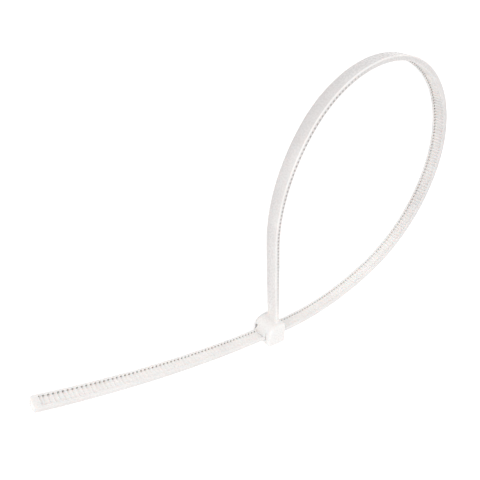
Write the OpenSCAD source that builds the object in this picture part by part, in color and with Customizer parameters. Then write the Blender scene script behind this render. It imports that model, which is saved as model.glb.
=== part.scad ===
// One-piece cable tie, closed into a loop through its own head.
// The loop lies flat: X runs along the slot of the head, Y along the strap where it leaves the head,
// and Z across the width of the strap. The origin is on the lower side of the head, under the slot.

/* [Strap] */
// Width of the strap
strap_w = 3.6; // [3:0.1:4.2]
// Thickness of the strap over its side rails
strap_t = 1.2; // [1.1:0.05:1.5]
// Width of each smooth side rail
rail_w = 0.5; // [0.4:0.05:0.7]
// Depth of the toothed channel between the rails
channel_depth = 0.5; // [0.4:0.05:0.6]
// Thickness of the strap where it leaves the head
neck_t = 0.9; // [0.8:0.05:1]
// Length over which the neck grows to the full thickness
neck_length = 7; // [4:0.5:10]
// Radius of the corners at the cut end of the tail
tip_corner_r = 0.6; // [0.3:0.1:1.2]

/* [Teeth] */
// Distance from one tooth to the next
tooth_pitch = 1.13; // [1:0.01:1.4]
// Height of a tooth above the floor of the channel
tooth_h = 0.42; // [0.25:0.01:0.45]
// Part of the pitch taken by the steep flank
steep_share = 0.16; // [0.1:0.02:0.24]
// Part of the pitch taken by the flat crest
crest_share = 0.16; // [0.1:0.02:0.24]
// Part of the pitch left open at the floor, between two teeth
valley_share = 0.1; // [0.06:0.02:0.2]
// Smooth length between the head and the first tooth
smooth_root = 4; // [3:0.5:12]
// Smooth length between the last tooth and the end of the tail
smooth_tip = 1.2; // [1:0.1:10]

/* [Loop] */
// Lean of the strap away from square where it leaves the head, degrees
root_lean = 3.5; // [0:0.5:6]
// Turn of the shoulder above the straight root, degrees
shoulder_turn = 39; // [35:1:43]
// Radius of the shoulder
shoulder_r = 40; // [36:0.5:44]
// Turn of the crown, degrees
crown_turn = 84; // [80:1:88]
// Radius of the crown
crown_r = 26.5; // [24:0.5:29]
// Turn of the far flank, degrees
flank_turn = 74; // [70:1:78]
// Radius of the far flank
flank_r = 29.5; // [27:0.5:32]
// Turn of the belly that leads back to the head, degrees
belly_turn = 51; // [47:1:55]
// Radius of the belly
belly_r = 34; // [31:0.5:37]
// Turn of the last bend before the slot, degrees
entry_turn = 33; // [30:1:36]
// Radius of the last bend before the slot
entry_r = 62; // [56:1:66]
// Straight length of the strap from the middle of the slot to where the tail starts to curl
exit_straight = 4; // [3.5:0.5:8]
// Length of the curling tail beyond that
tail_length = 55; // [20:1:90]
// Radius of the curl of the tail
tail_r = 230; // [120:5:400]

/* [Head] */
// Width of the head across the strap
head_w = 6.2; // [5.8:0.1:8]
// Distance from the middle of the slot to the face where the strap goes in
entry_depth = 2.3; // [2.2:0.1:3]
// Distance from the middle of the slot to the face where the tail comes out
exit_depth = 3.2; // [3:0.1:4]
// Height of the head from the middle of the slot to its top, where the strap is rooted
root_height = 3.8; // [3.6:0.1:5]
// Thickness of the wall that the strap is pressed against
abutment_wall = 1.8; // [1:0.1:2.5]
// Radius of the top of the head on the side where the tail comes out
brow_r = 2.5; // [1:0.1:2.6]
// Radius of the top of the head on the side where the strap goes in
entry_brow_r = 1; // [0.4:0.1:1.2]
// Radius of the shoulders beside the root of the strap
shoulder_edge_r = 0.9; // [0.3:0.1:1]
// Radius of the upright edges beside the face where the tail comes out
exit_edge_r = 0.8; // [0.3:0.1:0.9]
// Radius of the lower edge of that face
foot_r = 0.8; // [0.3:0.1:0.9]
// Radius of the edges of the face where the strap goes in
head_edge_r = 0.4; // [0.2:0.05:0.5]
// Radius of the long edges under the head
sole_edge_r = 0.4; // [0.2:0.05:0.5]
// Radius of the fillet where the strap grows out of the head
root_fillet_r = 0.5; // [0.3:0.05:0.6]
// Distance from the middle of the slot to the middle of the strap's root
root_offset = 0.6; // [0.4:0.05:0.8]

/* [Pawl] */
// Clearance between the strap and the slot, at each face
slot_gap = 0.1; // [0.06:0.01:0.15]
// Clearance between the edges of the strap and the slot, at each side
slot_side_gap = 0.15; // [0.1:0.05:0.3]
// Flare of the slot where the strap goes in
flare = 0.35; // [0.2:0.05:0.5]
// Height of the chamber in which the pawl bends, above the strap
chamber_h = 1.2; // [1.1:0.05:1.4]
// How much wider than the slot the chamber is, at each side
chamber_side = 0.6; // [0.3:0.05:0.65]
// Clearance at each side of the pawl in its chamber
pawl_side_gap = 0.6; // [0.4:0.05:0.7]
// Thickness of the finger of the pawl, without its teeth
pawl_t = 0.6; // [0.5:0.05:0.65]
// Thickness of the thin hinge of the pawl
hinge_t = 0.4; // [0.3:0.05:0.45]
// Distance from the middle of the slot to the hinge of the pawl
hinge_depth = 1.4; // [1.2:0.1:1.6]
// Distance from the middle of the slot to the free end of the pawl
pawl_reach = 3; // [2.7:0.1:3.1]
// Clearance between the teeth of the pawl and those of the strap
mesh_gap = 0.1; // [0.06:0.01:0.14]
// Teeth on the pawl
pawl_teeth = 3; // [2:1:3]

/* [Hidden] */
$fa = 2;
$fs = 0.15;
NYLON = "#ECEAE4";
// How far joined pieces reach into each other
weld = 0.1;
// How far the root of the strap reaches into the head
root_sink = 0.8;
// How far a cut runs past the face that it opens
past = 1;
// How far the teeth of the pawl stand back from the steep flanks that they lock against
lock_gap = 0.06;
// Straight parts of a quarter of a small rounded edge, and of the rounded top of the head
edge_steps = 4;
brow_steps = 10;

mid_z = head_w / 2;
strap_z = mid_z - strap_w / 2;
half_t = strap_t / 2;
floor_u = channel_depth - half_t;
channel_w = strap_w - 2 * rail_w;

// Headings, in degrees anticlockwise from X
root_heading = 90 + root_lean;
turns = [shoulder_turn, crown_turn, flank_turn, belly_turn, entry_turn];
radii = [shoulder_r, crown_r, flank_r, belly_r, entry_r];
bends = len(turns);
function turned(n) = n == 0 ? 0 : turned(n - 1) + turns[n - 1];
slot_heading = root_heading - turned(bends);
// Slope of the slot against X
slot_tilt = slot_heading + 180;

function along(heading) = [cos(heading), sin(heading)];
function left_of(heading) = [-sin(heading), cos(heading)];
function cross2(a, b) = a[0] * b[1] - a[1] * b[0];
// Step of a clockwise bend that starts at this heading
function bend_step(r, heading, turn) = r * (left_of(heading - turn) - left_of(heading));
function bends_step(n) = n == 0 ? [0, 0]
    : bends_step(n - 1) + bend_step(radii[n - 1], root_heading - turned(n - 1), turns[n - 1]);

// The two straights close the loop: they carry the chain of bends from the root to the slot
root_point = [root_offset, root_height];
open_step = -root_point - bends_step(bends);
between = cross2(along(root_heading), along(slot_heading));
root_straight = cross2(open_step, along(slot_heading)) / between;
slot_straight = cross2(along(root_heading), open_step) / between;

// Every stretch of the strap: its length, and the radius of its clockwise bend, 0 where it is straight
stretches = concat(
    [[root_straight, 0]],
    [for (i = [0:bends - 1]) [radii[i] * turns[i] * PI / 180, radii[i]]],
    [[slot_straight + exit_straight, 0], [tail_length, tail_r]]);
last = len(stretches) - 1;
function turn_of(st) = st[1] == 0 ? 0 : st[0] / st[1] * 180 / PI;
function step_of(st, heading) =
    st[1] == 0 ? st[0] * along(heading) : bend_step(st[1], heading, turn_of(st));
// Where a stretch starts: the length so far, the heading and the point
function next_start(from, st) = [from[0] + st[0], from[1] - turn_of(st), from[2] + step_of(st, from[1])];
function start_of(n) = n == 0 ? [0, root_heading, root_point] : next_start(start_of(n - 1), stretches[n - 1]);
starts = [for (n = [0:last + 1]) start_of(n)];
strap_length = starts[last + 1][0];
slot_length = starts[bends + 1][0] + slot_straight;

// A point of the strap at length s, offset by u from its middle line to the outside of the loop
function stretch_at(s, n = 0) = n == last || s < starts[n + 1][0] ? n : stretch_at(s, n + 1);
function strap_point(s, u) =
    let (n = stretch_at(s), st = [s - starts[n][0], stretches[n][1]], heading = starts[n][1])
    starts[n][2] + step_of(st, heading) + u * left_of(heading - turn_of(st));

// The teeth: how many there are, where each starts, and its outline along the strap and up from the floor
teeth = floor((strap_length - smooth_root - smooth_tip) / tooth_pitch);
function tooth_start(i) = smooth_root + i * tooth_pitch;
crest_from = steep_share * tooth_pitch;
crest_to = crest_from + crest_share * tooth_pitch;
ramp_end = (1 - valley_share) * tooth_pitch;
tooth_outline = [[0, 0], [crest_from, tooth_h], [crest_to, tooth_h], [ramp_end, 0]];

function arc_points(centre, r, from, to, steps) =
    [for (i = [0:steps]) centre + r * along(from + (to - from) * i / steps)];

// Half the thickness of the strap at length s: it is drawn in towards the head
function half_at(s) = half_t - max(0, 1 - max(s, 0) / neck_length) * (strap_t - neck_t) / 2;
// The strap is drawn from inside the head, up the fillets at its root, and with a point at every tooth to
// the end of the tail: each station is the length so far and half the thickness there
root_arc = arc_points([root_fillet_r, root_fillet_r], root_fillet_r, 180, 270, edge_steps);
stations = concat(
    [[-root_sink, half_at(0) + root_fillet_r]],
    [for (p = root_arc) [p[0], half_at(p[0]) + p[1]]],
    [for (i = [0:teeth]) [tooth_start(i), half_at(tooth_start(i))]],
    [[strap_length, half_t]]);

module flat_strap() {
    outside = [for (at = stations) strap_point(at[0], at[1])];
    inside = [for (i = [len(stations) - 1:-1:0]) strap_point(stations[i][0], -stations[i][1])];
    translate([0, 0, strap_z])
        linear_extrude(strap_w)
            polygon(concat(outside, inside));
}

// The gaps between the teeth, as one outline in the plane of the loop, open to the inside
module tooth_gaps() {
    floor_line = [for (i = [0:teeth - 1]) for (p = tooth_outline)
        strap_point(tooth_start(i) + p[0], floor_u - p[1])];
    floor_end = strap_point(tooth_start(teeth), floor_u);
    open_line = [for (i = [teeth:-1:0]) strap_point(tooth_start(i), -half_t - past)];
    translate([0, 0, strap_z + rail_w])
        linear_extrude(channel_w)
            polygon(concat(floor_line, [floor_end], open_line));
}

// Takes one corner off the end of the tail, as a rounded corner of the flat strap
module tip_corner() {
    translate([-tip_corner_r, 0, tip_corner_r])
        rotate([90, 0, 0])
            difference() {
                translate([0, -tip_corner_r - past, -past])
                    cube([tip_corner_r + past, tip_corner_r + past, 2 * past]);
                cylinder(h = 4 * past, r = tip_corner_r, center = true);
            }
}

module strap() {
    tip = starts[last + 1];
    difference() {
        flat_strap();
        tooth_gaps();
        translate([tip[2][0], tip[2][1], strap_z])
            rotate([0, 0, tip[1]])
                tip_corner();
        translate([tip[2][0], tip[2][1], strap_z + strap_w])
            rotate([0, 0, tip[1]])
                mirror([0, 0, 1])
                    tip_corner();
    }
}

// Side of the head, in the plane of the loop; its lower wall runs along the slot
lower_q = half_t + slot_gap + abutment_wall;
function lower_centre(x, r) = [x, (r - lower_q + x * sin(slot_tilt)) / cos(slot_tilt)];
module head_side() {
    exit_x = -exit_depth;
    polygon(concat(
        arc_points([entry_depth - entry_brow_r, root_height - entry_brow_r], entry_brow_r, 0, 90, brow_steps),
        arc_points([exit_x + brow_r, root_height - brow_r], brow_r, 90, 180, brow_steps),
        arc_points(lower_centre(exit_x + foot_r, foot_r), foot_r, 180, 270 + slot_tilt, edge_steps),
        arc_points(lower_centre(entry_depth - head_edge_r, head_edge_r), head_edge_r,
            270 + slot_tilt, 360, edge_steps)));
}

// Plan of the head, seen along the root of the strap: Y here is the width of the head
module head_plan() {
    exit_x = exit_edge_r - exit_depth;
    entry_x = entry_depth - head_edge_r;
    polygon(concat(
        arc_points([entry_x, head_w - head_edge_r], head_edge_r, 0, 90, edge_steps),
        arc_points([exit_x, head_w - exit_edge_r], exit_edge_r, 90, 180, edge_steps),
        arc_points([exit_x, exit_edge_r], exit_edge_r, 180, 270, edge_steps),
        arc_points([entry_x, head_edge_r], head_edge_r, 270, 360, edge_steps)));
}

module head_block() {
    reach = root_height + lower_q + past;
    run = exit_depth + entry_depth + 4 * past;
    intersection() {
        linear_extrude(head_w) head_side();
        translate([-exit_depth - 2 * past, 0, 0])
            rotate([90, 0, 90])
                linear_extrude(run)
                    rounded_front(reach);
        rotate([0, 0, slot_tilt])
            translate([-exit_depth - 2 * past, 0, 0])
                rotate([90, 0, 90])
                    linear_extrude(run)
                        rounded_sole(reach);
        translate([0, root_height + past, 0])
            rotate([90, 0, 0])
                linear_extrude(2 * reach)
                    head_plan();
    }
}

// Front of the head: X here is the height of the head and Y is its width
module rounded_front(reach) {
    polygon(concat(
        arc_points([root_height - shoulder_edge_r, head_w - shoulder_edge_r], shoulder_edge_r, 0, 90, edge_steps),
        [[-reach, head_w], [-reach, 0]],
        arc_points([root_height - shoulder_edge_r, shoulder_edge_r], shoulder_edge_r, 270, 360, edge_steps)));
}

// The same, square to the slot, for the edges under the head
module rounded_sole(reach) {
    polygon(concat(
        arc_points([sole_edge_r - lower_q, head_w - sole_edge_r], sole_edge_r, 90, 180, edge_steps),
        arc_points([sole_edge_r - lower_q, sole_edge_r], sole_edge_r, 180, 270, edge_steps),
        [[reach, 0], [reach, head_w]]));
}

// Frame of the slot: X back along the strap towards the entry, Y towards the root, Z across the strap
module in_slot() {
    translate([0, 0, strap_z])
        rotate([0, 0, slot_tilt])
            children();
}

module slot() {
    far = exit_depth + 2 * past;
    near = entry_depth + 2 * past;
    clear = half_t + slot_gap;
    flare_from = entry_depth - 2 * flare;
    flared = clear + flare * (near - flare_from) / (2 * flare);
    in_slot() {
        translate([0, 0, -slot_side_gap])
            linear_extrude(strap_w + 2 * slot_side_gap)
                polygon([[-far, -clear], [flare_from, -clear], [near, -flared],
                    [near, flared], [flare_from, clear], [-far, clear]]);
        translate([0, 0, -slot_side_gap - chamber_side])
            linear_extrude(strap_w + 2 * (slot_side_gap + chamber_side))
                polygon([[-far, 0], [hinge_depth, 0], [hinge_depth, half_t + chamber_h],
                    [-far, half_t + chamber_h]]);
    }
}

// The pawl: a finger on a thin hinge, with teeth that stand in those of the strap
module pawl() {
    low = half_t + mesh_gap;
    top = low + pawl_t;
    finger_z = pawl_side_gap - slot_side_gap - chamber_side;
    tooth_w = channel_w - 2 * mesh_gap;
    first = floor((slot_length + pawl_reach - smooth_root) / tooth_pitch) - pawl_teeth;
    in_slot() {
        translate([0, 0, finger_z])
            linear_extrude(strap_w - 2 * finger_z)
                polygon([[hinge_depth + weld, low], [hinge_depth + weld, low + hinge_t],
                    [hinge_depth - hinge_t, low + hinge_t], [hinge_depth - 2 * pawl_t, top],
                    [-pawl_reach + pawl_t / 4, top], [-pawl_reach, top - pawl_t / 4], [-pawl_reach, low]]);
        translate([0, 0, rail_w + mesh_gap])
            linear_extrude(tooth_w)
                for (i = [0:pawl_teeth - 1])
                    pawl_tooth(slot_length - tooth_start(first + i) + lock_gap, low + weld);
    }
}

// One tooth of the pawl: the gap between two teeth of the strap, moved clear of them
module pawl_tooth(valley_p, root_q) {
    tip_q = half_t - channel_depth + mesh_gap;
    rise = root_q - tip_q;
    back = rise * (ramp_end - crest_to) / tooth_h;
    front = rise * crest_from / tooth_h;
    polygon([[valley_p, tip_q], [valley_p + valley_share * tooth_pitch, tip_q],
        [valley_p + valley_share * tooth_pitch + back, root_q], [valley_p - front, root_q]]);
}

// Fillets beside the edges of the strap, at its root: X here is the width of the strap
module edge_fillets() {
    half_w = strap_w / 2 - weld / 2;
    foot = half_w + root_fillet_r;
    thick = neck_t - weld;
    translate([root_offset, root_height, mid_z])
        rotate([0, 0, root_lean])
            translate([-thick / 2, 0, 0])
                rotate([0, 90, 0])
                    linear_extrude(thick)
                        polygon(concat(
                            [[-foot, -root_sink], [foot, -root_sink]],
                            arc_points([foot, root_fillet_r], root_fillet_r, 270, 180, edge_steps),
                            arc_points([-foot, root_fillet_r], root_fillet_r, 0, -90, edge_steps)));
}

module head() {
    difference() {
        head_block();
        slot();
    }
    edge_fillets();
    pawl();
}

module cable_tie() {
    color(NYLON) {
        head();
        strap();
    }
}

cable_tie();
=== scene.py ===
"""Looks of the natural nylon cable tie: strap, head, pawl, studio and camera."""

import cmath
import logging
import math
from dataclasses import dataclass
from enum import Enum
from functools import cached_property, partial, reduce

import bmesh
import bpy
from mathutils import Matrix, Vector


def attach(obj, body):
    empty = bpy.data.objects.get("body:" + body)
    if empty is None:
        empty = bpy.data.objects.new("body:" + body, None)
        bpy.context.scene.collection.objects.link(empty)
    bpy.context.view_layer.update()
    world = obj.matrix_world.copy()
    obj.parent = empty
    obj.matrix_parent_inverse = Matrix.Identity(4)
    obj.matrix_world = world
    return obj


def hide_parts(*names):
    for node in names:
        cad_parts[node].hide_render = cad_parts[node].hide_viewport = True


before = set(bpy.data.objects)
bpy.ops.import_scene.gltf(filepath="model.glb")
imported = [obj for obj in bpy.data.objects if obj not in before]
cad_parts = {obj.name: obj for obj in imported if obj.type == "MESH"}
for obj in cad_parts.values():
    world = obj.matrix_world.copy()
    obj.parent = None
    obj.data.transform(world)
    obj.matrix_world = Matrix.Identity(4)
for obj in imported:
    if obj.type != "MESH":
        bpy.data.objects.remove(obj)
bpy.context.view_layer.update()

MM = 0.001
TOUCH = 1e-4
CAD_NODE = "cable_tie"
CAD_BODY = "root"

Span = tuple[float, float]
Colour = tuple[float, float, float]
Socket = bpy.types.NodeSocket
Value = bpy.types.NodeSocket | float

log = logging.getLogger("cable_tie")


def along(heading: float) -> complex:
    """Unit step along a heading in degrees, anticlockwise from X, with Y as the imaginary part."""
    return cmath.rect(1, math.radians(heading))


def left_of(heading: float) -> complex:
    """Unit step square to a heading, to its left."""
    return 1j * along(heading)


def cross(a: complex, b: complex) -> float:
    """Cross product of two steps in the plane of the loop."""
    return (a.conjugate() * b).imag


def bend_step(radius: float, heading: float, turn: float) -> complex:
    """Step of a clockwise bend.

    Args:
        radius: radius of the middle line, in millimetres.
        heading: heading at its start, in degrees.
        turn: angle that it turns through, in degrees.

    Returns:
        The step from its start to its end.
    """
    return radius * (left_of(heading - turn) - left_of(heading))


@dataclass(frozen=True)
class Stretch:
    """One stretch of the strap: straight where the radius is 0, and otherwise a clockwise bend."""

    begin: float
    length: float
    radius: float
    heading: float
    point: complex

    def turn(self, run: float) -> float:
        """Degrees turned after a run along the stretch."""
        return math.degrees(run / self.radius) if self.radius else 0.0

    def place(self, run: float, offset: float = 0.0) -> complex:
        """Point beside the middle line.

        Args:
            run: length from the start of the stretch, in millimetres.
            offset: distance from the middle line towards the outside of the loop.

        Returns:
            The point in the plane of the loop.
        """
        turn = self.turn(run)
        step = bend_step(self.radius, self.heading, turn) if self.radius else run * along(self.heading)
        return self.point + step + offset * left_of(self.heading - turn)


@dataclass(frozen=True)
class LoopPath:
    """Middle line of the strap in the plane of the loop, from its root to the tip of the tail."""

    root_offset: float = 0.6
    root_height: float = 3.8
    root_lean: float = 3.5
    turns: tuple[float, ...] = (39.0, 84.0, 74.0, 51.0, 33.0)
    radii: tuple[float, ...] = (40.0, 26.5, 29.5, 34.0, 62.0)
    exit_straight: float = 4.0
    tail_length: float = 55.0
    tail_radius: float = 230.0

    @property
    def root_heading(self) -> float:
        """Heading of the strap where it leaves the head."""
        return 90 + self.root_lean

    @property
    def slot_tilt(self) -> float:
        """Slope of the slot against X, in degrees."""
        return self.root_heading - sum(self.turns) + 180

    @cached_property
    def runs(self) -> tuple[tuple[float, float], ...]:
        """Length and radius of each stretch; the two straights close the loop."""
        heading, bends = self.root_heading, 0j
        for radius, turn in zip(self.radii, self.turns):
            bends += bend_step(radius, heading, turn)
            heading -= turn
        gap = -complex(self.root_offset, self.root_height) - bends
        first, final = along(self.root_heading), along(heading)
        rise = cross(gap, final) / cross(first, final)
        into_slot = cross(first, gap) / cross(first, final)
        curved = [(radius * math.radians(turn), radius) for radius, turn in zip(self.radii, self.turns)]
        ends = [(into_slot + self.exit_straight, 0.0), (self.tail_length, self.tail_radius)]
        return ((rise, 0.0), *curved, *ends)

    @cached_property
    def stretches(self) -> tuple[Stretch, ...]:
        """Every stretch, with where it starts."""
        found: list[Stretch] = []
        begin, heading, point = 0.0, self.root_heading, complex(self.root_offset, self.root_height)
        for length, radius in self.runs:
            stretch = Stretch(begin, length, radius, heading, point)
            found.append(stretch)
            begin, heading, point = begin + length, heading - stretch.turn(length), stretch.place(length)
        return tuple(found)

    @property
    def length(self) -> float:
        """Length of the strap from the head to its tip."""
        return sum(length for length, _ in self.runs)

    @property
    def slot_length(self) -> float:
        """Length along the strap at which it passes the middle of the slot."""
        return self.stretches[-2].begin + self.runs[-2][0] - self.exit_straight

    def place(self, s: float, offset: float) -> complex:
        """Point of the strap.

        Args:
            s: length along the strap from its root, in millimetres.
            offset: distance from its middle line towards the outside of the loop.

        Returns:
            The point in the plane of the loop.
        """
        stretch = next((x for x in reversed(self.stretches) if s >= x.begin), self.stretches[0])
        return stretch.place(s - stretch.begin, offset)


def arc(centre: complex, radius: float, start: float, end: float, steps: int) -> list[complex]:
    """Points of an arc.

    Args:
        centre: its centre.
        radius: its radius.
        start: first angle, in degrees.
        end: last angle, in degrees.
        steps: straight parts.

    Returns:
        The points, ends included.
    """
    return [centre + radius * along(start + (end - start) * i / steps) for i in range(steps + 1)]


def face_of(bm: bmesh.types.BMesh, points: list[Vector]) -> bmesh.types.BMFace:
    """A single face through a few points."""
    return bm.faces.new([bm.verts.new(p) for p in points])


def extrude_face(bm: bmesh.types.BMesh, face: bmesh.types.BMFace, step: Vector) -> bmesh.types.BMFace:
    """Extrudes a face into a closed block.

    Args:
        bm: the mesh.
        face: a face with open edges.
        step: how far the block runs.

    Returns:
        The moved copy of the face.
    """
    grown = bmesh.ops.extrude_face_region(bm, geom=[face])["geom"]
    bmesh.ops.translate(bm, verts=[g for g in grown if isinstance(g, bmesh.types.BMVert)], vec=step)
    return next(g for g in grown if isinstance(g, bmesh.types.BMFace))


def round_edges(bm: bmesh.types.BMesh, edges: list[bmesh.types.BMEdge], radius: float,
                segments: int) -> None:
    """Rounds edges of a mesh.

    Args:
        bm: the mesh.
        edges: the edges to round.
        radius: how far the rounding reaches from each edge.
        segments: straight parts of the rounding.
    """
    bmesh.ops.bevel(
        bm, geom=edges, affect="EDGES", offset=radius, offset_type="OFFSET",
        segments=segments, profile=0.5, material=-1, clamp_overlap=True,
    )


def new_mesh() -> bmesh.types.BMesh:
    """A mesh with the two UV maps of the moulding: teeth, and bulk, which is 1 all over the head."""
    bm = bmesh.new()
    bm.loops.layers.uv.new("teeth")
    bm.loops.layers.uv.new("bulk")
    return bm


def mark_thick(bm: bmesh.types.BMesh) -> None:
    """Marks a whole mesh as thick nylon."""
    bulk = bm.loops.layers.uv["bulk"]
    for face in bm.faces:
        for loop in face.loops:
            loop[bulk].uv = (1.0, 0.0)


def recount(bm: bmesh.types.BMesh) -> None:
    """Turns every face outwards and numbers the elements again."""
    bmesh.ops.recalc_face_normals(bm, faces=bm.faces)
    bm.verts.ensure_lookup_table()
    bm.faces.ensure_lookup_table()


class Zone(Enum):
    """Parts of the moulding whose nylon looks different, each with how clear it is.

    The outside is the outer face, which turns into the crown on its way to the top of the loop; the crown
    is made darker as painted shade. The edge is the side of the strap, made lighter along the tail as
    painted light, and the corner its rounding towards the outer face, made lighter as a painted highlight.
    The far channel is the stretch of the channel after the top of the loop, made darker as painted shade.
    """

    OUTSIDE = 0.66
    SHADED_CROWN = 1.0
    EDGE = 0.78
    LIT_TAIL_EDGE = 0.4
    CHANNEL = 0.02
    SHADED_FAR_CHANNEL = 0.42
    HIGHLIT_CORNER = 0.25
    HEAD = 0.03


class NodeKit:
    """An emptied node tree, with the steps that the nylon and the studio are made of."""

    def __init__(self, tree: bpy.types.NodeTree) -> None:
        """Takes over a tree and empties it."""
        tree.nodes.clear()
        self.tree = tree

    def node(self, kind: str) -> bpy.types.Node:
        """Adds a node of a kind."""
        return self.tree.nodes.new(kind)

    def link(self, source: Socket, target: Socket) -> None:
        """Feeds an input from an output."""
        self.tree.links.new(source, target)

    def split(self, vector: Socket) -> tuple[Socket, Socket, Socket]:
        """Splits a vector into X, Y and Z."""
        made = self.node("ShaderNodeSeparateXYZ")
        self.link(vector, made.inputs["Vector"])
        return made.outputs["X"], made.outputs["Y"], made.outputs["Z"]

    def uv(self, name: str) -> tuple[Socket, Socket]:
        """Reads one of the moulding's UV maps, split into X and Y."""
        made = self.node("ShaderNodeUVMap")
        made.uv_map = name
        return self.split(made.outputs["UV"])[:2]

    def noise(self, place: Socket, scale: float, detail: float) -> Socket:
        """Noise on the place of the surface.

        Args:
            place: the coordinates.
            scale: how many blobs there are to a metre.
            detail: finer layers.

        Returns:
            The value socket.
        """
        made = self.node("ShaderNodeTexNoise")
        made.inputs["Scale"].default_value = scale
        made.inputs["Detail"].default_value = detail
        self.link(place, made.inputs["Vector"])
        return made.outputs["Fac"]

    def spread(self, value: Socket, span: Span, low: float = 0.0, high: float = 1.0) -> Socket:
        """Maps a value smoothly from one range to another.

        Args:
            value: the value.
            span: the values that give low and high.
            low: result at the start of the span.
            high: result at its end.

        Returns:
            The mapped socket.
        """
        made = self.node("ShaderNodeMapRange")
        made.interpolation_type = "SMOOTHSTEP"
        for name, number in zip(("From Min", "From Max", "To Min", "To Max"), (*span, low, high)):
            made.inputs[name].default_value = number
        self.link(value, made.inputs["Value"])
        return made.outputs["Result"]

    def math(self, operation: str, a: Value, b: Value = 0.0) -> Socket:
        """One step of arithmetic.

        Args:
            operation: Blender's name of the step.
            a: first value, a socket or a number.
            b: second value, a socket or a number.

        Returns:
            The result's socket.
        """
        made = self.node("ShaderNodeMath")
        made.operation = operation
        for socket, value in zip(made.inputs, (a, b)):
            if isinstance(value, float):
                socket.default_value = value
            else:
                self.link(value, socket)
        return made.outputs["Value"]

    def product(self, *values: Value) -> Socket:
        """Multiplies values, each a socket or a number."""
        return reduce(partial(self.math, "MULTIPLY"), values)

    def lean(self, low: Value, high: Value, share: Socket) -> Socket:
        """Moves from one value towards another by a share."""
        kept = self.product(low, self.math("SUBTRACT", 1.0, share))
        return self.math("ADD", kept, self.product(share, high))

    def blend(self, share: Socket, first: Colour | Socket, second: Colour) -> Socket:
        """Mixes two colours by a varying share.

        Args:
            share: 0 gives the first colour, and 1 the second.
            first: a colour, or the socket of one.
            second: a colour.

        Returns:
            The colour's socket.
        """
        made = self.node("ShaderNodeMix")
        made.data_type = "RGBA"
        sockets = {socket.identifier: socket for socket in made.inputs}
        if isinstance(first, tuple):
            sockets["A_Color"].default_value = (*first, 1)
        else:
            self.link(first, sockets["A_Color"])
        sockets["B_Color"].default_value = (*second, 1)
        self.link(share, sockets["Factor_Float"])
        return next(socket for socket in made.outputs if socket.identifier == "Result_Color")


@dataclass(frozen=True)
class Reading:
    """Where on the moulding a point of the surface is.

    The tooth number counts along the strap, and the height goes from the inner face, 0, to the outer one,
    1. Bulk is 1 on the head. Z and across are metres, across from the middle plane of the strap. Facing is
    1 where the surface faces sideways.
    """

    number: Socket
    height: Socket
    bulk: Socket
    z: Socket
    across: Socket
    facing: Socket


@dataclass(frozen=True)
class ClearnessWithPaintedLight:
    """How clear the nylon is, zone by zone.

    Besides clearness, it darkens the crown, the far channel and the outer face towards the floor as
    painted shade, lightens the rounded corner as a painted highlight, and lightens the side along the tail
    and at its inner rim as painted light. A span holds the two ends of a smooth change. Spans along the
    strap are tooth numbers, spans of height go from 0 at the inner face to 1 at the outer one, and spans
    across the strap are metres.
    """

    crown_shade_along: Span = (26.0, 68.0)
    outside_height: Span = (0.86, 0.96)
    strap_z: Span = (0.0013, 0.0049)
    floor_shade_change: float = 0.13
    edge_across: Span = (0.0015, 0.00162)
    corner_highlight_height: Span = (0.72, 0.82)
    rim_light_share: float = 0.2
    rim_light_height: Span = (0.12, 0.3)
    rim_light_until: Span = (55.0, 85.0)
    far_from: Span = (90.0, 112.0)
    far_to: Span = (140.0, 166.0)

    def share(self, kit: NodeKit, at: Reading) -> Socket:
        """Milky in the head and the channel, and clearer on the edge and outside, with painted shade and
        painted light.

        Args:
            kit: the material's nodes.
            at: where on the moulding the surface is.

        Returns:
            The share of the clear colour, from 0 to 1.
        """
        on_edge = kit.spread(at.across, self.edge_across)
        share = kit.lean(self.in_channel(kit, at), self.on_side(kit, at), on_edge)
        # Painted shade: the outer face turns darker from the outside towards the crown.
        outside = kit.spread(at.number, self.crown_shade_along, Zone.OUTSIDE.value, Zone.SHADED_CROWN.value)
        # Painted shade: the outer face darker towards the floor, and lighter towards the top.
        sideways = kit.spread(at.z, self.strap_z, self.floor_shade_change, -self.floor_shade_change)
        outer_face = kit.spread(at.height, self.outside_height)
        share = kit.lean(share, kit.math("ADD", outside, sideways), outer_face)
        # Painted highlight: the rounding between the side and the outer face is made lighter.
        corner = kit.product(on_edge, kit.spread(at.height, self.corner_highlight_height))
        share = kit.lean(share, Zone.HIGHLIT_CORNER.value, corner)
        return kit.lean(share, Zone.HEAD.value, kit.spread(at.bulk, (0.0, 1.0)))

    def in_channel(self, kit: NodeKit, at: Reading) -> Socket:
        """The share in the channel, darker in its far stretch as painted shade."""
        # Painted shade: the channel is made darker over its far stretch.
        far = kit.product(kit.spread(at.number, self.far_from),
                          kit.spread(at.number, self.far_to, 1.0, 0.0))
        return kit.lean(Zone.CHANNEL.value, Zone.SHADED_FAR_CHANNEL.value, far)

    def on_side(self, kit: NodeKit, at: Reading) -> Socket:
        """The share on the side of the strap, lighter as painted light at its inner rim up to the top of
        the loop and along the tail.
        """
        # Painted light: the side of the strap is made lighter along the tail.
        edge = kit.spread(at.number, self.far_to, Zone.EDGE.value, Zone.LIT_TAIL_EDGE.value)
        # Painted light: a lighter band at the side's inner rim, up to the top of the loop.
        rim = kit.spread(at.height, self.rim_light_height, self.rim_light_share, 1.0)
        return kit.product(edge, kit.lean(rim, 1.0, kit.spread(at.number, self.rim_light_until)))


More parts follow.
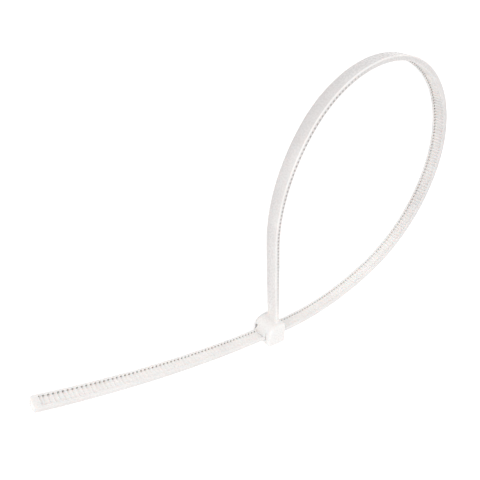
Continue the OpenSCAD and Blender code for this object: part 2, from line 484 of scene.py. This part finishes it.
@dataclass(frozen=True)
class GapShade:
    """Painted shade: dark marks where the shaded gaps between the teeth show at the thin rails.

    Spans are as in Clearness. The phase is the place of a gap between the middles of two teeth, 0 to 1,
    and the reach is how far from it a mark fades, in teeth.
    """

    phase: float = 0.46
    reach: Span = (0.08, 0.32)
    facing: Span = (0.6, 0.9)
    head_bulk: Span = (0.9, 1.0)
    edge_across: Span = (0.0014, 0.0015)
    edge_shade: float = 0.88
    edge_foot: Span = (0.26, 0.40)
    edge_top: Span = (0.50, 0.66)
    at_root: float = 0.3
    grow: Span = (2.0, 24.0)
    fade: Span = (58.0, 74.0)
    wall_shade: float = 0.75
    wall_top: Span = (0.42, 0.5)

    def share(self, kit: NodeKit, at: Reading) -> Socket:
        """Painted shade in a band along the edge of the loop, and on the wall of the channel.

        Args:
            kit: the material's nodes.
            at: where on the moulding the surface is.

        Returns:
            How much of the painted shade shows, from 0 to 1.
        """
        phase = kit.math("FRACT", kit.math("ADD", at.number, 0.5))
        off_gap = kit.math("ABSOLUTE", kit.math("SUBTRACT", phase, self.phase))
        on_strap = kit.spread(at.bulk, self.head_bulk, 1.0, 0.0)
        at_gap = kit.product(kit.spread(at.facing, self.facing), on_strap,
                             kit.spread(off_gap, self.reach, 1.0, 0.0))
        band = kit.product(kit.spread(at.height, self.edge_foot),
                           kit.spread(at.height, self.edge_top, 1.0, 0.0))
        run = kit.product(kit.spread(at.number, self.grow, self.at_root, 1.0),
                          kit.spread(at.number, self.fade, 1.0, 0.0))
        # Painted shade of the gaps, on the sides of the strap and on the walls of the channel.
        edge = kit.product(band, run, self.edge_shade)
        wall = kit.spread(at.height, self.wall_top, self.wall_shade, 0.0)
        return kit.product(at_gap, kit.lean(wall, edge, kit.spread(at.across, self.edge_across)))


@dataclass(frozen=True)
class NaturalNylon:
    """Finish of undyed nylon: milky, slightly warm, see-through where it is thin, with painted shade and
    painted light.
    """

    name: str = "natural_nylon"
    milky: Colour = (0.905, 0.885, 0.870)
    clear: Colour = (0.67, 0.65, 0.645)
    # Painted shade: the colour of the shaded gaps between the teeth.
    gap_shade_colour: Colour = (0.22, 0.19, 0.17)
    clearness_and_light: ClearnessWithPaintedLight = ClearnessWithPaintedLight()
    gap_shade: GapShade = GapShade()
    middle_z: float = 0.0031
    refraction: float = 1.53
    scatter_share: float = 0.6
    scatter_reach: Colour = (1.0, 0.86, 0.8)
    scatter_depth: float = 0.0006
    noise_span: Span = (0.3, 0.7)
    cloud_scale: float = 160.0
    cloud_detail: float = 3.0
    cloud_share: float = 0.1
    grain_scale: float = 2600.0
    grain_detail: float = 2.0
    grain_strength: float = 0.15
    grain_height: float = 0.00002
    roughness: Span = (0.22, 0.34)

    def material(self) -> bpy.types.Material:
        """Builds the node material.

        Returns:
            The material, ready to be put on a piece.
        """
        made = bpy.data.materials.new(self.name)
        made.use_nodes = True
        kit = NodeKit(made.node_tree)
        out = kit.node("ShaderNodeOutputMaterial")
        skin = kit.node("ShaderNodeBsdfPrincipled")
        kit.link(skin.outputs["BSDF"], out.inputs["Surface"])
        skin.inputs["IOR"].default_value = self.refraction
        skin.inputs["Subsurface Weight"].default_value = self.scatter_share
        skin.inputs["Subsurface Radius"].default_value = self.scatter_reach
        skin.inputs["Subsurface Scale"].default_value = self.scatter_depth
        place = kit.node("ShaderNodeTexCoord").outputs["Object"]
        cloud = kit.noise(place, self.cloud_scale, self.cloud_detail)
        grain = kit.noise(place, self.grain_scale, self.grain_detail)
        kit.link(kit.spread(grain, self.noise_span, *self.roughness), skin.inputs["Roughness"])
        bump = kit.node("ShaderNodeBump")
        bump.inputs["Strength"].default_value = self.grain_strength
        bump.inputs["Distance"].default_value = self.grain_height
        kit.link(grain, bump.inputs["Height"])
        kit.link(bump.outputs["Normal"], skin.inputs["Normal"])
        at = self.read(kit, place)
        clouds = kit.spread(cloud, self.noise_span, -self.cloud_share, self.cloud_share)
        # The nylon's clearness, with painted shade and painted light, and random clouds.
        clear_and_light_share = kit.math("ADD", self.clearness_and_light.share(kit, at), clouds)
        colour = kit.blend(clear_and_light_share, self.milky, self.clear)
        # Painted shade of the gaps between the teeth, laid over the colour.
        colour = kit.blend(self.gap_shade.share(kit, at), colour, self.gap_shade_colour)
        kit.link(colour, skin.inputs["Base Color"])
        return made

    def read(self, kit: NodeKit, place: Socket) -> Reading:
        """Reads where on the moulding the surface is.

        Args:
            kit: the material's nodes.
            place: the coordinates.

        Returns:
            The sockets of the reading.
        """
        number, height = kit.uv("teeth")
        bulk, _ = kit.uv("bulk")
        z = kit.split(place)[2]
        across = kit.math("ABSOLUTE", kit.math("SUBTRACT", z, self.middle_z))
        normal = kit.node("ShaderNodeNewGeometry").outputs["Normal"]
        facing = kit.math("ABSOLUTE", kit.split(normal)[2])
        return Reading(number, height, bulk, z, across, facing)


@dataclass(frozen=True)
class Station:
    """A place along the strap at which its section is drawn.

    The floor is the offset of the channel's floor, where there is a channel. The section grows all round
    into the fillet at the root, and is trimmed at its sides towards the tip.
    """

    s: float
    floor: float | None = None
    grow: float = 0.0
    trim: float = 0.0


@dataclass
class Strap:
    """The toothed strap: a channel of saw teeth between two smooth rails, bent to the loop.

    The pitch and height of the teeth and the rounded long edges are the photograph's, and differ from the
    CAD part's. Lengths and offsets are millimetres, and shares are parts of the tooth pitch.
    """

    path: LoopPath
    middle_z: float = 3.1
    width: float = 3.6
    thickness: float = 1.2
    rail: float = 0.5
    channel_depth: float = 0.5
    neck_thickness: float = 0.9
    neck_length: float = 7.0
    milky_length: float = 12.0
    root_sink: float = 0.8
    root_fillet: float = 0.5
    outer_round: float = 0.3
    outer_steps: int = 4
    inner_round: float = 0.12
    inner_steps: int = 2
    rail_chamfer: float = 0.06
    tip_corner: float = 0.6
    tooth_pitch: float = 0.93
    tooth_height: float = 0.23
    steep_share: float = 0.16
    crest_share: float = 0.16
    valley_share: float = 0.1
    crest_softness: float = 0.22
    smooth_root: float = 4.0
    smooth_tip: float = 1.2
    arc_steps: int = 5
    least_edge: float = 0.0005

    @property
    def half(self) -> float:
        """Half the thickness over the rails."""
        return self.thickness / 2

    @property
    def floor(self) -> float:
        """Offset of the floor of the channel from the middle line."""
        return self.channel_depth - self.half

    @property
    def teeth(self) -> int:
        """How many teeth fit between the smooth ends."""
        return int((self.path.length - self.smooth_root - self.smooth_tip) / self.tooth_pitch)

    def half_at(self, s: float) -> float:
        """Half the thickness at a length along the strap, drawn in towards the head."""
        share = max(0.0, 1 - max(s, 0.0) / self.neck_length)
        return self.half - share * (self.thickness - self.neck_thickness) / 2

    def tooth_stations(self, start: float) -> list[Station]:
        """Stations over one tooth, with its crest softened.

        Args:
            start: where its steep flank rises from the floor.

        Returns:
            The stations, from the foot of the steep flank to the foot of the ramp.
        """
        rise = self.steep_share * self.tooth_pitch
        crest = self.crest_share * self.tooth_pitch
        foot = (1 - self.valley_share) * self.tooth_pitch
        soft, high = self.crest_softness, self.tooth_height
        ramp_soft = soft / 2
        outline = [
            (0.0, 0.0), (rise * (1 - soft), high * (1 - soft)), (rise + crest * soft, high),
            (rise + crest * (1 - soft), high),
            (rise + crest + (foot - rise - crest) * ramp_soft, high * (1 - ramp_soft)), (foot, 0.0),
        ]
        return [Station(start + run, self.floor - up) for run, up in outline]

    def stations(self) -> list[Station]:
        """Every station, from inside the head to the end of the tail."""
        fillet, first = self.root_fillet, self.smooth_root
        found = [Station(-self.root_sink, grow=fillet)]
        for point in arc(complex(fillet, fillet), fillet, 180, 270, self.arc_steps):
            found.append(Station(point.real, grow=point.imag))
        found += [Station((fillet + first) / 2), Station(first)]
        for i in range(self.teeth):
            found += self.tooth_stations(first + i * self.tooth_pitch)
        last = first + self.teeth * self.tooth_pitch
        end = self.path.length
        found += [Station(last, self.floor), Station(last)]
        corner = self.tip_corner
        for point in arc(complex(end - corner, 0), corner, 90, 0, self.arc_steps):
            found.append(Station(point.real, trim=corner - point.imag))
        return found

    def section(self, at: Station) -> list[complex]:
        """Ring of the strap at a station: real is the offset, imaginary the place across the strap.

        Args:
            at: the station.

        Returns:
            The points in order, from the near side of the outer face round to the far side.
        """
        half, wide = self.half_at(at.s) + at.grow, self.width / 2 + at.grow - at.trim
        floor = -half if at.floor is None else max(-half, at.floor)
        chamfer = self.rail_chamfer if floor > -half else 0.0
        r, i = self.outer_round, self.inner_round
        near = arc(complex(half - r, wide - r), r, 0, 90, self.outer_steps)
        near += arc(complex(i - half, wide - i), i, 90, 180, self.inner_steps)
        wall = wide - self.rail
        near += [complex(-half, wall + self.rail_chamfer), complex(chamfer - half, wall)]
        near.append(complex(floor, wall))
        return near + [p.conjugate() for p in reversed(near)]

    @staticmethod
    def spot(offset: float, across: float) -> tuple[float, float]:
        """Point of a section, rounded so that it is found again after its way through a mesh."""
        return round(offset, 4), round(across, 4)

    def build(self) -> bmesh.types.BMesh:
        """Draws the strap straight, shapes it station by station, and bends it to the loop.

        Returns:
            The closed mesh, in millimetres.
        """
        stations = self.stations()
        model = self.section(Station(self.path.length / 2, self.floor))
        key = {self.spot(p.real, p.imag): k for k, p in enumerate(model)}
        bm = new_mesh()
        ring = face_of(bm, [Vector((0, p.real, p.imag)) for p in model])
        steps = len(stations) - 1
        extrude_face(bm, ring, Vector((steps, 0, 0)))
        long_edges = [e for e in bm.edges if abs(e.verts[0].co.x - e.verts[1].co.x) > TOUCH]
        bmesh.ops.subdivide_edges(bm, edges=long_edges, cuts=steps - 1, use_grid_fill=True)
        teeth, bulk = bm.loops.layers.uv["teeth"], bm.loops.layers.uv["bulk"]
        rings = [self.section(at) for at in stations]
        for v in bm.verts:
            n = round(v.co.x)
            p = rings[n][key[self.spot(v.co.y, v.co.z)]]
            v.co = (stations[n].s, p.real, p.imag)
        for face in bm.faces:
            for loop in face.loops:
                s, offset, _ = loop.vert.co
                number = (s - self.smooth_root) / self.tooth_pitch
                loop[teeth].uv = (number, (offset + self.half) / self.thickness)
                loop[bulk].uv = (max(0.0, 1 - max(s, 0.0) / self.milky_length), 0.0)
        bmesh.ops.dissolve_degenerate(bm, dist=self.least_edge, edges=bm.edges)
        for v in bm.verts:
            at = self.path.place(v.co.x, v.co.y)
            v.co = (at.real, at.imag, self.middle_z + v.co.z)
        recount(bm)
        return bm


class Workpiece:
    """A closed mesh on the bench, on which cuts, joins and roundings are made."""

    SOFT_DEGREES = 50.0
    SOFT_STEPS = 2

    def __init__(self, bm: bmesh.types.BMesh) -> None:
        """Puts a mesh on the bench and frees it."""
        mesh = bpy.data.meshes.new("workpiece")
        bm.to_mesh(mesh)
        bm.free()
        self.object = bpy.data.objects.new("workpiece", mesh)
        bpy.context.scene.collection.objects.link(self.object)

    def settle(self) -> None:
        """Carries out the modifiers that were laid on the mesh."""
        done = bmesh.new()
        done.from_object(self.object, bpy.context.evaluated_depsgraph_get())
        self.object.modifiers.clear()
        done.to_mesh(self.object.data)
        done.free()

    def combine(self, operation: str, other: bmesh.types.BMesh) -> None:
        """Cuts another mesh out, or joins it on.

        Args:
            operation: DIFFERENCE or UNION.
            other: the closed mesh, used up here.
        """
        tool = Workpiece(other)
        step = self.object.modifiers.new("combine", "BOOLEAN")
        step.operation, step.solver, step.object = operation, "EXACT", tool.object
        self.settle()
        tool.clear_away()

    def round_by_weight(self, segments: int) -> None:
        """Rounds each edge by the radius that stands in its bevel weight."""
        step = self.object.modifiers.new("round", "BEVEL")
        step.limit_method, step.width, step.segments = "WEIGHT", 1.0, segments
        step.use_clamp_overlap = True
        self.settle()

    def soften(self, radius: float, angle: float = SOFT_DEGREES) -> None:
        """Takes the sharpness off every corner that turns more than an angle.

        Args:
            radius: reach of the rounding from each edge.
            angle: the least turn of a corner, in degrees.
        """
        step = self.object.modifiers.new("soften", "BEVEL")
        step.limit_method, step.angle_limit = "ANGLE", math.radians(angle)
        step.width, step.segments, step.use_clamp_overlap = radius, self.SOFT_STEPS, False
        self.settle()

    def clear_away(self) -> bmesh.types.BMesh:
        """Takes the mesh off the bench.

        Returns:
            A copy of the mesh as it is now.
        """
        mesh = self.object.data
        bm = bmesh.new()
        bm.from_mesh(mesh)
        bpy.data.objects.remove(self.object)
        bpy.data.meshes.remove(mesh)
        return bm


@dataclass
class Head:
    """The head: a rounded block with a slanted slot, and the chamber of the pawl above the strap.

    The chamber is open where the tail comes out, and wider than the slot on the lower side only. Both are
    drawn in on the upper side by upper_shift.
    """

    path: LoopPath
    strap: Strap
    width: float = 6.2
    entry_depth: float = 2.3
    exit_depth: float = 3.2
    top: float = 3.8
    abutment_wall: float = 1.8
    brow: float = 2.5
    entry_brow: float = 1.0
    foot: float = 0.8
    shoulder_edge: float = 0.9
    exit_edge: float = 0.8
    entry_edge: float = 0.4
    sole_edge: float = 0.4
    slot_gap: float = 0.1
    side_gap: float = 0.15
    flare: float = 0.35
    chamber_height: float = 1.2
    chamber_side: float = 0.6
    upper_shift: float = 0.12
    hinge_depth: float = 1.4
    past: float = 2.0
    rim_softness: float = 0.08
    rim_steps: int = 5
    least_steps: int = 4
    steps_per_mm: int = 5

    @property
    def clear(self) -> float:
        """Half the height of the slot."""
        return self.strap.half + self.slot_gap

    def in_slot(self, p: float, q: float) -> complex:
        """Point given along the slot, towards the entry, and square to it, towards the root."""
        return complex(p, q) * along(self.path.slot_tilt)

    def at_x(self, x: float, q: float) -> complex:
        """Point on a line along the slot, where it passes a given X."""
        tilt = math.radians(self.path.slot_tilt)
        return self.in_slot((x + q * math.sin(tilt)) / math.cos(tilt), q)

    def slab(self, outline: list[tuple[float, float]], half_width: float,
             wider: float = 0.0) -> bmesh.types.BMesh:
        """Extrudes an outline across the strap.

        Args:
            outline: points given along and square to the slot.
            half_width: half the width of the slab.
            wider: how much further the slab reaches on its upper side.

        Returns:
            The closed slab.
        """
        bm = new_mesh()
        low = self.strap.middle_z - half_width
        points = [self.in_slot(p, q) for p, q in outline]
        face = face_of(bm, [Vector((c.real, c.imag, low)) for c in points])
        extrude_face(bm, face, Vector((0, 0, 2 * half_width + wider)))
        mark_thick(bm)
        recount(bm)
        return bm

    def rim_radius(self, out: Vector) -> float:
        """Radius of the rim at the sides of the head, by the direction in which the wall there faces."""
        ends = self.entry_edge if out.x > 0 else self.exit_edge
        sides = self.shoulder_edge if out.y > 0 else self.sole_edge
        return ends * out.x ** 2 + sides * out.y ** 2

    def block(self) -> Workpiece:
        """Draws the rounded block.

        Returns:
            The block on the bench.
        """
        bm = new_mesh()
        low = -(self.clear + self.abutment_wall)
        corners = [complex(self.entry_depth, self.top), complex(-self.exit_depth, self.top),
                   self.at_x(-self.exit_depth, low), self.at_x(self.entry_depth, low)]
        face = face_of(bm, [Vector((p.real, p.imag, 0)) for p in corners])
        extrude_face(bm, face, Vector((0, 0, self.width)))
        for corner, radius in zip(corners, (self.entry_brow, self.brow, self.foot, self.entry_edge)):
            edges = [e for e in bm.edges
                     if all(abs(complex(v.co.x, v.co.y) - corner) < TOUCH for v in e.verts)]
            round_edges(bm, edges, radius, max(self.least_steps, round(self.steps_per_mm * radius)))
        mark_thick(bm)
        recount(bm)
        weight = bm.edges.layers.float.new("bevel_weight_edge")
        for e in bm.edges:
            if abs(e.verts[0].co.z - e.verts[1].co.z) < TOUCH:
                wall = min(e.link_faces, key=lambda f: abs(f.normal.z))
                e[weight] = self.rim_radius(wall.normal)
        piece = Workpiece(bm)
        piece.round_by_weight(self.rim_steps)
        return piece

    def build(self) -> Workpiece:
        """Draws the head with its slot and chamber.

        Returns:
            The head on the bench.
        """
        piece = self.block()
        slot_half = self.strap.width / 2 + self.side_gap
        far, near = self.exit_depth + self.past, self.entry_depth + self.past
        side = self.chamber_side
        flare_from = self.entry_depth - 2 * self.flare
        clear = self.clear
        flared = clear + self.flare * (near - flare_from) / (2 * self.flare)
        slot = [(-far, -clear), (flare_from, -clear), (near, -flared),
                (near, flared), (flare_from, clear), (-far, clear)]
        roof = self.strap.half + self.chamber_height
        chamber = [(-far, 0.0), (self.hinge_depth, 0.0), (self.hinge_depth, roof), (-far, roof)]
        piece.combine("DIFFERENCE", self.slab(slot, slot_half, -self.upper_shift))
        piece.soften(self.rim_softness)
        piece.combine("DIFFERENCE", self.slab(chamber, slot_half + side, -side - self.upper_shift))
        return piece


@dataclass
class Pawl:
    """The pawl: a finger on a thin hinge, with teeth that stand in those of the strap.

    The finger is highest at its reach, slopes down from there to its toe over a crest of the strap, and
    has a lip under the toe. It nearly touches the upper wall of the chamber, and stands well clear of the
    lower one.
    """

    head: Head
    side_gap: float = 0.85
    upper_gap: float = 0.06
    thickness: float = 0.6
    hinge: float = 0.4
    nose_rise: float = 0.96
    reach: float = 3.15
    mesh_gap: float = 0.04
    lock_gap: float = 0.04
    teeth: int = 4
    weld: float = 0.1
    softness: float = 0.05
    soft_degrees: float = 40.0
    lip: float = 1.0
    toe: float = 0.57

    @property
    def low(self) -> float:
        """Height of the underside of the finger over the middle of the strap."""
        return self.head.strap.half + self.mesh_gap

    @property
    def half_in_channel(self) -> float:
        """Half the width of what reaches into the channel."""
        return self.head.strap.width / 2 - self.head.strap.rail - self.mesh_gap

    @property
    def toothed_length(self) -> float:
        """Length along the strap from its first tooth to the middle of the slot."""
        return self.head.path.slot_length - self.head.strap.smooth_root

    @property
    def toe_at(self) -> float:
        """Place of the toe along the slot, over the crest that is nearest to where it should end."""
        strap = self.head.strap
        crest_at = strap.steep_share + strap.crest_share / 2
        over = round((self.toothed_length + self.reach + self.toe) / strap.tooth_pitch - crest_at)
        return self.toothed_length - (over + crest_at) * strap.tooth_pitch

    def finger(self) -> bmesh.types.BMesh:
        """Draws the finger, from the hinge to the toe.

        Returns:
            The closed finger.
        """
        head, low, toe = self.head, self.low, self.toe_at
        root, back = head.hinge_depth + self.weld, head.hinge_depth
        top, nose = low + self.thickness, self.thickness / 4
        outline = [
            (root, low), (root, low + self.hinge), (back - self.hinge, low + self.hinge),
            (back - 2 * self.thickness, top), (-self.reach, top + self.nose_rise),
            (toe, low + nose), (toe, low),
        ]
        half_width = head.strap.width / 2 + head.side_gap + head.chamber_side - self.side_gap
        wider = self.side_gap - self.upper_gap - head.chamber_side - head.upper_shift
        return head.slab(outline, half_width, wider)

    def lip_block(self) -> bmesh.types.BMesh:
        """Draws the lip, which fills the space between the toe and a crest of the strap.

        Returns:
            The closed lip.
        """
        toe, strap = self.toe_at, self.head.strap
        crest = strap.tooth_height - strap.floor
        outline = [(toe, crest + self.mesh_gap), (toe + self.lip, crest + self.mesh_gap),
                   (toe + self.lip, self.low + self.weld), (toe, self.low + self.weld)]
        return self.head.slab(outline, self.half_in_channel)

    def tooth(self, foot: float) -> bmesh.types.BMesh:
        """Draws one tooth: the gap between two teeth of the strap, moved clear of them.

        Args:
            foot: place along the slot of the foot of its steep flank.

        Returns:
            The closed tooth.
        """
        strap = self.head.strap
        tip = self.mesh_gap - strap.floor
        root = self.low + self.weld
        rise = (root - tip) / strap.tooth_height * strap.tooth_pitch
        flat = foot + strap.valley_share * strap.tooth_pitch
        ramp = 1 - strap.valley_share - strap.steep_share - strap.crest_share
        outline = [(foot, tip), (flat, tip),
                   (flat + rise * ramp, root), (foot - rise * strap.steep_share, root)]
        return self.head.slab(outline, self.half_in_channel)

    def join_to(self, piece: Workpiece) -> None:
        """Draws the finger, its lip and its teeth, and joins them to the head.

        Args:
            piece: the head on the bench.
        """
        pitch = self.head.strap.tooth_pitch
        body = Workpiece(self.finger())
        body.soften(self.softness, self.soft_degrees)
        body.combine("UNION", self.lip_block())
        first = int((self.toothed_length + self.reach) / pitch) + 1 - self.teeth
        for i in range(first, first + self.teeth):
            body.combine("UNION", self.tooth(self.toothed_length - i * pitch + self.lock_gap))
        piece.combine("UNION", body.clear_away())


@dataclass
class CableTie:
    """The whole moulding: strap, head and pawl as one closed piece of nylon."""

    strap: Strap
    head: Head
    pawl: Pawl
    name: str = "nylon_tie"
    crisp_degrees: float = 38.0

    def build(self, finish: NaturalNylon) -> bpy.types.Object:
        """Joins the strap to the head, and makes the finished object in metres.

        Args:
            finish: the nylon's finish.

        Returns:
            The object, riding on the part.
        """
        piece = self.head.build()
        self.pawl.join_to(piece)
        piece.combine("UNION", self.strap.build())
        bm = piece.clear_away()
        bmesh.ops.scale(bm, vec=Vector((MM, MM, MM)), verts=bm.verts)
        for face in bm.faces:
            face.smooth = True
        open_edges = sum(1 for e in bm.edges if not e.is_manifold)
        mesh = bpy.data.meshes.new(self.name)
        bm.to_mesh(mesh)
        bm.free()
        mesh.materials.append(finish.material())
        mesh.set_sharp_from_angle(angle=math.radians(self.crisp_degrees))
        made = bpy.data.objects.new(self.name, mesh)
        bpy.context.scene.collection.objects.link(made)
        self.even_normals(made)
        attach(made, CAD_BODY)
        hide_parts(CAD_NODE)
        log.info("%s: %d faces, %d open edges", self.name, len(made.data.polygons), open_edges)
        return made

    def even_normals(self, made: bpy.types.Object) -> None:
        """Keeps the shading of the flat faces flat beside their rounded edges."""
        step = made.modifiers.new("even_normals", "WEIGHTED_NORMAL")
        step.keep_sharp = True
        done = bpy.data.meshes.new_from_object(made, depsgraph=bpy.context.evaluated_depsgraph_get())
        made.modifiers.clear()
        old, made.data = made.data, done
        bpy.data.meshes.remove(old)
        done.name = self.name


@dataclass(frozen=True)
class Lamp:
    """A soft square lamp aimed at the loop."""

    name: str
    place: tuple[float, float, float]
    size: float
    power: float

    def build(self, aim: Vector) -> None:
        """Hangs the lamp and turns it to the aim."""
        data = bpy.data.lights.new(self.name, "AREA")
        data.shape, data.size, data.energy = "SQUARE", self.size, self.power
        lamp = bpy.data.objects.new(self.name, data)
        lamp.location = self.place
        lamp.rotation_euler = (aim - Vector(self.place)).to_track_quat("-Z", "Y").to_euler()
        bpy.context.scene.collection.objects.link(lamp)


@dataclass
class Studio:
    """White floor, even white surroundings and soft lamps."""

    floor_size: float = 4.0
    floor_colour: Colour = (0.93, 0.93, 0.93)
    floor_glow: float = 0.3
    ambient: float = 0.83
    aim: tuple[float, float, float] = (0.01, 0.025, 0.003)
    lamps: tuple[Lamp, ...] = (
        Lamp("overhead", (0.05, -0.10, 0.66), 0.5, 0.5),
        Lamp("behind_camera", (-0.38, 0.38, 0.38), 0.5, 0.9),
        Lamp("low_side", (-0.35, -0.42, 0.30), 0.15, 0.12),
    )

    def shown_ray(self, kit: NodeKit) -> Socket:
        """1 for rays that show the background: camera, glossy and transmission rays."""
        path = kit.node("ShaderNodeLightPath")
        seen = kit.math("MAXIMUM", path.outputs["Is Camera Ray"], path.outputs["Is Glossy Ray"])
        return kit.math("MAXIMUM", seen, path.outputs["Is Transmission Ray"])

    def paper(self) -> bpy.types.Material:
        """White paper that glows a little where it is seen.

        Returns:
            The material of the floor.
        """
        made = bpy.data.materials.new("white_paper")
        made.use_nodes = True
        kit = NodeKit(made.node_tree)
        out = kit.node("ShaderNodeOutputMaterial")
        both = kit.node("ShaderNodeAddShader")
        matt = kit.node("ShaderNodeBsdfDiffuse")
        matt.inputs["Color"].default_value = (*self.floor_colour, 1)
        glow = kit.node("ShaderNodeEmission")
        kit.link(kit.product(self.shown_ray(kit), self.floor_glow), glow.inputs["Strength"])
        kit.link(matt.outputs["BSDF"], both.inputs[0])
        kit.link(glow.outputs["Emission"], both.inputs[1])
        kit.link(both.outputs["Shader"], out.inputs["Surface"])
        return made

    def floor(self) -> None:
        """Lays the white floor under the tie."""
        bm = bmesh.new()
        bmesh.ops.create_grid(bm, x_segments=1, y_segments=1, size=self.floor_size / 2)
        mesh = bpy.data.meshes.new("floor")
        bm.to_mesh(mesh)
        bm.free()
        mesh.materials.append(self.paper())
        floor = bpy.data.objects.new("floor", mesh)
        bpy.context.scene.collection.objects.link(floor)

    def surroundings(self) -> None:
        """Lights the world evenly, and shows it white."""
        world = bpy.data.worlds.new("white_room")
        bpy.context.scene.world = world
        world.use_nodes = True
        kit = NodeKit(world.node_tree)
        out = kit.node("ShaderNodeOutputWorld")
        mix = kit.node("ShaderNodeMixShader")
        lit = kit.node("ShaderNodeBackground")
        lit.inputs["Strength"].default_value = self.ambient
        seen = kit.node("ShaderNodeBackground")
        for shader in (lit, seen):
            shader.inputs["Color"].default_value = (1, 1, 1, 1)
        kit.link(self.shown_ray(kit), mix.inputs["Fac"])
        kit.link(lit.outputs["Background"], mix.inputs[1])
        kit.link(seen.outputs["Background"], mix.inputs[2])
        kit.link(mix.outputs["Shader"], out.inputs["Surface"])

    def build(self) -> None:
        """Sets up the floor, the surroundings and the lamps."""
        self.floor()
        self.surroundings()
        for lamp in self.lamps:
            lamp.build(Vector(self.aim))
        log.info("studio: %d lamps", len(self.lamps))


@dataclass(frozen=True)
class Viewpoint:
    """The photograph's camera: above the left of the loop, rolled."""

    place: tuple[float, float, float] = (-0.058545, 0.087909, 0.069463)
    turn_degrees: tuple[float, float, float] = (-34.434, -35.890, 0.4604)
    lens: float = 35.42
    sensor_width: float = 36.0
    clip: Span = (0.005, 20.0)

    def build(self) -> None:
        """Puts the camera in the scene."""
        data = bpy.data.cameras.new("camera")
        data.lens, data.sensor_width = self.lens, self.sensor_width
        data.clip_start, data.clip_end = self.clip
        camera = bpy.data.objects.new("camera", data)
        camera.location = self.place
        camera.rotation_euler = [math.radians(a) for a in self.turn_degrees]
        bpy.context.scene.collection.objects.link(camera)
        bpy.context.scene.camera = camera


def main() -> None:
    """Builds the tie, the studio and the camera."""
    logging.basicConfig(level=logging.INFO, format="%(message)s")
    bpy.context.scene.view_settings.view_transform = "Standard"
    path = LoopPath()
    strap = Strap(path)
    head = Head(path, strap)
    CableTie(strap, head, Pawl(head)).build(NaturalNylon())
    Studio().build()
    Viewpoint().build()


if __name__ == "__main__":
    main()
